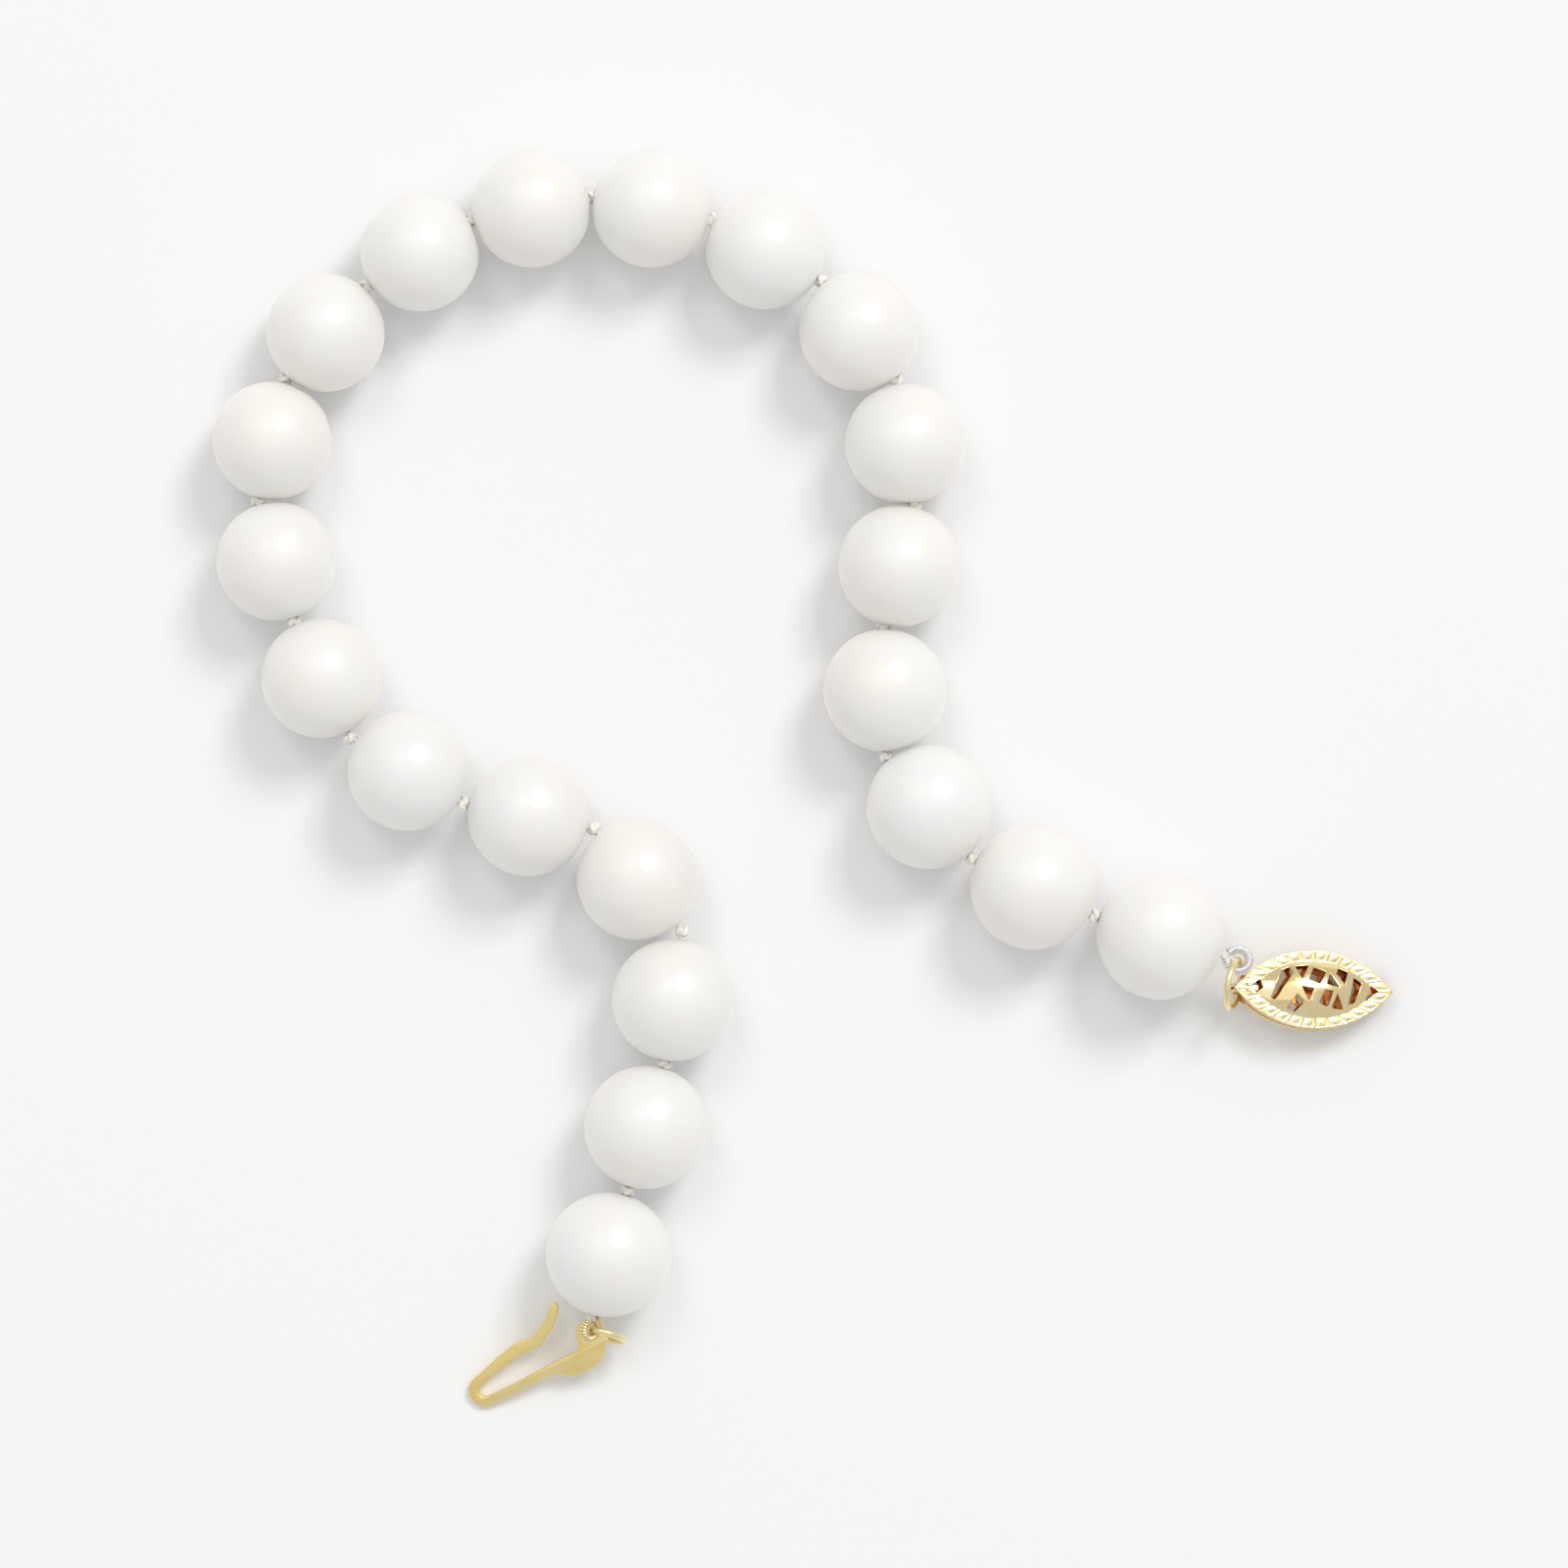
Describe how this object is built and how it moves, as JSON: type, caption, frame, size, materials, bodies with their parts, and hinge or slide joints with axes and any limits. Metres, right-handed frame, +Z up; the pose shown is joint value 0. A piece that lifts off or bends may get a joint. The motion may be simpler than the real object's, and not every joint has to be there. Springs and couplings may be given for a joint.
{
  "type": "pearl strand bracelet",
  "caption": "Knotted strand of round white pearls on silk, with French wire loops, jump rings, a flat spring hook and a pierced pointed-oval clasp, lying open",
  "frame": {"origin": "on the table, at the middle of the open strand's outline", "axes": "+Z up from the table, +Y along the strand outline's longer side, from the hook towards the bend of the strand, +X towards the clasp"},
  "size_m": [0.0795, 0.0847, 0.0086],
  "materials": {
    "pearl_nacre": "satin pearl lustre with faint cream and rose overtones",
    "silk": "plied silk thread, matt",
    "silver_wire": "fine coiled silver wire, bright",
    "gold_wire": "fine coiled gold wire, bright",
    "polished_gold": "polished 14 carat yellow gold",
    "hook_gold": "flat sheet, lightly brushed",
    "clasp_gold": "stamped sheet, polished, darker inside"
  },
  "bodies": {
    "pearl_01": {"pearl_01": "pearl_nacre"},
    "pearl_02": {"pearl_02": "pearl_nacre"},
    "pearl_03": {"pearl_03": "pearl_nacre"},
    "pearl_04": {"pearl_04": "pearl_nacre"},
    "pearl_05": {"pearl_05": "pearl_nacre"},
    "pearl_06": {"pearl_06": "pearl_nacre"},
    "pearl_07": {"pearl_07": "pearl_nacre"},
    "pearl_08": {"pearl_08": "pearl_nacre"},
    "pearl_09": {"pearl_09": "pearl_nacre"},
    "pearl_10": {"pearl_10": "pearl_nacre"},
    "pearl_11": {"pearl_11": "pearl_nacre"},
    "pearl_12": {"pearl_12": "pearl_nacre"},
    "pearl_13": {"pearl_13": "pearl_nacre"},
    "pearl_14": {"pearl_14": "pearl_nacre"},
    "pearl_15": {"pearl_15": "pearl_nacre"},
    "pearl_16": {"pearl_16": "pearl_nacre"},
    "pearl_17": {"pearl_17": "pearl_nacre"},
    "pearl_18": {"pearl_18": "pearl_nacre"},
    "pearl_19": {"pearl_19": "pearl_nacre"},
    "pearl_20": {"pearl_20": "pearl_nacre"},
    "pearl_21": {"pearl_21": "pearl_nacre"},
    "knot_01": {"silk_knot_01": "silk"},
    "knot_02": {"silk_knot_02": "silk"},
    "knot_03": {"silk_knot_03": "silk"},
    "knot_04": {"silk_knot_04": "silk"},
    "knot_05": {"silk_knot_05": "silk"},
    "knot_06": {"silk_knot_06": "silk"},
    "knot_07": {"silk_knot_07": "silk"},
    "knot_08": {"silk_knot_08": "silk"},
    "knot_09": {"silk_knot_09": "silk"},
    "knot_10": {"silk_knot_10": "silk"},
    "knot_11": {"silk_knot_11": "silk"},
    "knot_12": {"silk_knot_12": "silk"},
    "knot_13": {"silk_knot_13": "silk"},
    "knot_14": {"silk_knot_14": "silk"},
    "knot_15": {"silk_knot_15": "silk"},
    "knot_16": {"silk_knot_16": "silk"},
    "knot_17": {"silk_knot_17": "silk"},
    "knot_18": {"silk_knot_18": "silk"},
    "knot_19": {"silk_knot_19": "silk"},
    "knot_20": {"silk_knot_20": "silk"},
    "wire_loop_clasp": {"french_wire_clasp": "silver_wire", "silk_end_clasp": "silk"},
    "ring_clasp": {"jump_ring_clasp": "polished_gold"},
    "clasp": {"clasp_front_shell": "clasp_gold", "clasp_back_shell": "clasp_gold", "clasp_latch_post": "clasp_gold", "clasp_end_strap": "clasp_gold"},
    "wire_loop_hook": {"french_wire_hook": "gold_wire", "silk_end_hook": "silk"},
    "ring_hook": {"jump_ring_hook": "polished_gold"},
    "hook": {"hook_shank": "hook_gold"},
    "hook_spring": {"hook_spring_arm": "hook_gold"}
  },
  "joints": [
    {"name": "clasp_wire_lift", "type": "hinge", "parent": "pearl_21", "child": "wire_loop_clasp", "pos_m": [0.02814, -0.01186, 0.00428], "axis": [0.2924, 0.9563, 0], "range_deg": [-20, 20], "deforming": ["silk_end_clasp"]},
    {"name": "clasp_ring_turn", "type": "hinge", "parent": "wire_loop_clasp", "child": "ring_clasp", "pos_m": [0.02899, -0.01383, 0.0042], "axis": [-0.9418, 0.1661, -0.2924], "range_deg": [-20, 25]},
    {"name": "clasp_body_swing", "type": "hinge", "parent": "ring_clasp", "child": "clasp", "pos_m": [0.02941, -0.01419, 0.00265], "axis": [0.221, 0.961, -0.1661], "range_deg": [-20, 30]},
    {"name": "hook_wire_lift", "type": "hinge", "parent": "pearl_01", "child": "wire_loop_hook", "pos_m": [-0.01426, -0.03603, 0.00419], "axis": [0.9962, 0.0872, 0], "range_deg": [-20, 4], "deforming": ["silk_end_hook"]},
    {"name": "hook_ring_turn", "type": "hinge", "parent": "wire_loop_hook", "child": "ring_hook", "pos_m": [-0.01331, -0.03749, 0.00289], "axis": [0.2696, 0.9403, -0.2079], "range_deg": [-25, 20]},
    {"name": "hook_body_swing", "type": "hinge", "parent": "ring_hook", "child": "hook", "pos_m": [-0.01435, -0.03737, 0.00204], "axis": [0.574, -0.3303, -0.7493], "range_deg": [-8, 12]},
    {"name": "hook_arm_squeeze", "type": "hinge", "parent": "hook", "child": "hook_spring", "pos_m": [-0.02163, -0.04096, 0.00053], "axis": [-0.125, -0.1579, 0.9795], "range_deg": [-8, 0], "stiffness_Nm_per_rad": 0.002},
    {"name": "knot_01_sideways", "type": "hinge", "parent": "pearl_02", "child": "knot_01", "pos_m": [-0.01172, -0.02774, 0.00417], "axis": [0, 0, 1], "range_deg": [-36, 38], "deforming": ["silk_knot_01"]},
    {"name": "knot_01_lift", "type": "hinge", "parent": "knot_01", "child": "pearl_01", "pos_m": [-0.01172, -0.02774, 0.00417], "axis": [-0.9563, 0.2924, 0], "range_deg": [-18, 18], "deforming": ["silk_knot_01"]},
    {"name": "knot_02_sideways", "type": "hinge", "parent": "pearl_03", "child": "knot_02", "pos_m": [-0.00928, -0.01924, 0.00413], "axis": [0, 0, -1], "range_deg": [-41, 25], "deforming": ["silk_knot_02"]},
    {"name": "knot_02_lift", "type": "hinge", "parent": "knot_02", "child": "pearl_02", "pos_m": [-0.00928, -0.01924, 0.00413], "axis": [0.9613, -0.2756, 0], "range_deg": [-17, 17], "deforming": ["silk_knot_02"]},
    {"name": "knot_03_sideways", "type": "hinge", "parent": "pearl_04", "child": "knot_03", "pos_m": [-0.00803, -0.01031, 0.00409], "axis": [0, 0, 1], "range_deg": [-2, 86], "deforming": ["silk_knot_03"]},
    {"name": "knot_03_lift", "type": "hinge", "parent": "knot_03", "child": "pearl_03", "pos_m": [-0.00803, -0.01031, 0.00409], "axis": [-0.9903, 0.1392, 0], "range_deg": [-25, 25], "deforming": ["silk_knot_03"]},
    {"name": "knot_04_sideways", "type": "hinge", "parent": "pearl_05", "child": "knot_04", "pos_m": [-0.01402, -0.00342, 0.00406], "axis": [0, 0, -1], "range_deg": [-60, 7], "deforming": ["silk_knot_04"]},
    {"name": "knot_04_lift", "type": "hinge", "parent": "knot_04", "child": "pearl_04", "pos_m": [-0.01402, -0.00342, 0.00406], "axis": [0.7547, 0.6561, 0], "range_deg": [-22, 22], "deforming": ["silk_knot_04"]},
    {"name": "knot_05_sideways", "type": "hinge", "parent": "pearl_06", "child": "knot_05", "pos_m": [-0.02273, -0.00173, 0.00404], "axis": [0, 0, 1], "range_deg": [-60, 22], "deforming": ["silk_knot_05"]},
    {"name": "knot_05_lift", "type": "hinge", "parent": "knot_05", "child": "pearl_05", "pos_m": [-0.02273, -0.00173, 0.00404], "axis": [-0.1908, -0.9816, 0], "range_deg": [-20, 20], "deforming": ["silk_knot_05"]},
    {"name": "knot_06_sideways", "type": "hinge", "parent": "pearl_07", "child": "knot_06", "pos_m": [-0.03038, 0.00269, 0.00402], "axis": [0, 0, -1], "range_deg": [-11, 79], "deforming": ["silk_knot_06"]},
    {"name": "knot_06_lift", "type": "hinge", "parent": "knot_06", "child": "pearl_06", "pos_m": [-0.03038, 0.00269, 0.00402], "axis": [0.5, 0.866, 0], "range_deg": [-22, 22], "deforming": ["silk_knot_06"]},
    {"name": "knot_07_sideways", "type": "hinge", "parent": "pearl_08", "child": "knot_07", "pos_m": [-0.03418, 0.01048, 0.004], "axis": [0, 0, 1], "range_deg": [-42, 22], "deforming": ["silk_knot_07"]},
    {"name": "knot_07_lift", "type": "hinge", "parent": "knot_07", "child": "pearl_07", "pos_m": [-0.03418, 0.01048, 0.004], "axis": [-0.8988, -0.4384, 0], "range_deg": [-16, 16], "deforming": ["silk_knot_07"]},
    {"name": "knot_08_sideways", "type": "hinge", "parent": "pearl_09", "child": "knot_08", "pos_m": [-0.0365, 0.01857, 0.00399], "axis": [0, 0, -1], "range_deg": [-2, 58], "deforming": ["silk_knot_08"]},
    {"name": "knot_08_lift", "type": "hinge", "parent": "knot_08", "child": "pearl_08", "pos_m": [-0.0365, 0.01857, 0.00399], "axis": [0.9613, 0.2756, 0], "range_deg": [-15, 15], "deforming": ["silk_knot_08"]},
    {"name": "knot_09_sideways", "type": "hinge", "parent": "pearl_10", "child": "knot_09", "pos_m": [-0.03476, 0.02675, 0.00398], "axis": [0, 0, 1], "range_deg": [-59, 1], "deforming": ["silk_knot_09"]},
    {"name": "knot_09_lift", "type": "hinge", "parent": "knot_09", "child": "pearl_09", "pos_m": [-0.03476, 0.02675, 0.00398], "axis": [-0.9781, 0.2079, 0], "range_deg": [-15, 15], "deforming": ["silk_knot_09"]},
    {"name": "knot_10_sideways", "type": "hinge", "parent": "pearl_11", "child": "knot_10", "pos_m": [-0.02926, 0.03307, 0.00398], "axis": [0, 0, -1], "range_deg": [-13, 49], "deforming": ["silk_knot_10"]},
    {"name": "knot_10_lift", "type": "hinge", "parent": "knot_10", "child": "pearl_10", "pos_m": [-0.02926, 0.03307, 0.00398], "axis": [0.7547, -0.6561, 0], "range_deg": [-16, 16], "deforming": ["silk_knot_10"]},
    {"name": "knot_11_sideways", "type": "hinge", "parent": "pearl_11", "child": "knot_11", "pos_m": [-0.02222, 0.03747, 0.00398], "axis": [0, 0, 1], "range_deg": [-2, 44], "deforming": ["silk_knot_11"]},
    {"name": "knot_11_lift", "type": "hinge", "parent": "knot_11", "child": "pearl_12", "pos_m": [-0.02222, 0.03747, 0.00398], "axis": [-0.1908, 0.9816, 0], "range_deg": [-12, 12], "deforming": ["silk_knot_11"]},
    {"name": "knot_12_sideways", "type": "hinge", "parent": "pearl_12", "child": "knot_12", "pos_m": [-0.01417, 0.03904, 0.00398], "axis": [0, 0, -1], "range_deg": [-45, 1], "deforming": ["silk_knot_12"]},
    {"name": "knot_12_lift", "type": "hinge", "parent": "knot_12", "child": "pearl_13", "pos_m": [-0.01417, 0.03904, 0.00398], "axis": [-0.1908, -0.9816, 0], "range_deg": [-12, 12], "deforming": ["silk_knot_12"]},
    {"name": "knot_13_sideways", "type": "hinge", "parent": "pearl_13", "child": "knot_13", "pos_m": [-0.00609, 0.03747, 0.004], "axis": [0, 0, 1], "range_deg": [-5, 41], "deforming": ["silk_knot_13"]},
    {"name": "knot_13_lift", "type": "hinge", "parent": "knot_13", "child": "pearl_14", "pos_m": [-0.00609, 0.03747, 0.004], "axis": [0.4848, 0.8746, 0], "range_deg": [-12, 12], "deforming": ["silk_knot_13"]},
    {"name": "knot_14_sideways", "type": "hinge", "parent": "pearl_14", "child": "knot_14", "pos_m": [0.00124, 0.03341, 0.00401], "axis": [0, 0, -1], "range_deg": [-58, 10], "deforming": ["silk_knot_14"]},
    {"name": "knot_14_lift", "type": "hinge", "parent": "knot_14", "child": "pearl_15", "pos_m": [0.00124, 0.03341, 0.00401], "axis": [-0.7986, -0.6018, 0], "range_deg": [-17, 17], "deforming": ["silk_knot_14"]},
    {"name": "knot_15_sideways", "type": "hinge", "parent": "pearl_15", "child": "knot_15", "pos_m": [0.00634, 0.02664, 0.00404], "axis": [0, 0, 1], "range_deg": [-1, 59], "deforming": ["silk_knot_15"]},
    {"name": "knot_15_lift", "type": "hinge", "parent": "knot_15", "child": "pearl_16", "pos_m": [0.00634, 0.02664, 0.00404], "axis": [0.9903, 0.1392, 0], "range_deg": [-9, 9], "deforming": ["silk_knot_15"]},
    {"name": "knot_16_sideways", "type": "hinge", "parent": "pearl_16", "child": "knot_16", "pos_m": [0.00751, 0.01832, 0.00407], "axis": [0, 0, -1], "range_deg": [-45, 1], "deforming": ["silk_knot_16"]},
    {"name": "knot_16_lift", "type": "hinge", "parent": "knot_16", "child": "pearl_17", "pos_m": [0.00751, 0.01832, 0.00407], "axis": [-0.9703, 0.2419, 0], "range_deg": [-12, 12], "deforming": ["silk_knot_16"]},
    {"name": "knot_17_sideways", "type": "hinge", "parent": "pearl_17", "child": "knot_17", "pos_m": [0.00547, 0.01014, 0.00411], "axis": [0, 0, 1], "range_deg": [-38, 8], "deforming": ["silk_knot_17"]},
    {"name": "knot_17_lift", "type": "hinge", "parent": "knot_17", "child": "pearl_18", "pos_m": [0.00547, 0.01014, 0.00411], "axis": [0.9998, 0.0175, 0], "range_deg": [-12, 12], "deforming": ["silk_knot_17"]},
    {"name": "knot_18_sideways", "type": "hinge", "parent": "pearl_18", "child": "knot_18", "pos_m": [0.00562, 0.00146, 0.00415], "axis": [0, 0, -1], "range_deg": [-1, 73], "deforming": ["silk_knot_18"]},
    {"name": "knot_18_lift", "type": "hinge", "parent": "knot_18", "child": "pearl_19", "pos_m": [0.00562, 0.00146, 0.00415], "axis": [-0.766, -0.6428, 0], "range_deg": [-10, 10], "deforming": ["silk_knot_18"]},
    {"name": "knot_19_sideways", "type": "hinge", "parent": "pearl_19", "child": "knot_19", "pos_m": [0.01139, -0.00541, 0.0042], "axis": [0, 0, 1], "range_deg": [-63, 13], "deforming": ["silk_knot_19"]},
    {"name": "knot_19_lift", "type": "hinge", "parent": "knot_19", "child": "pearl_20", "pos_m": [0.01139, -0.00541, 0.0042], "axis": [0.4226, 0.9063, 0], "range_deg": [-19, 19], "deforming": ["silk_knot_19"]},
    {"name": "knot_20_sideways", "type": "hinge", "parent": "pearl_20", "child": "knot_20", "pos_m": [0.01964, -0.00925, 0.00426], "axis": [0, 0, -1], "range_deg": [-30, 46], "deforming": ["silk_knot_20"]},
    {"name": "knot_20_lift", "type": "hinge", "parent": "knot_20", "child": "pearl_21", "pos_m": [0.01964, -0.00925, 0.00426], "axis": [-0.2924, -0.9563, 0], "range_deg": [-19, 19], "deforming": ["silk_knot_20"]}
  ]
}
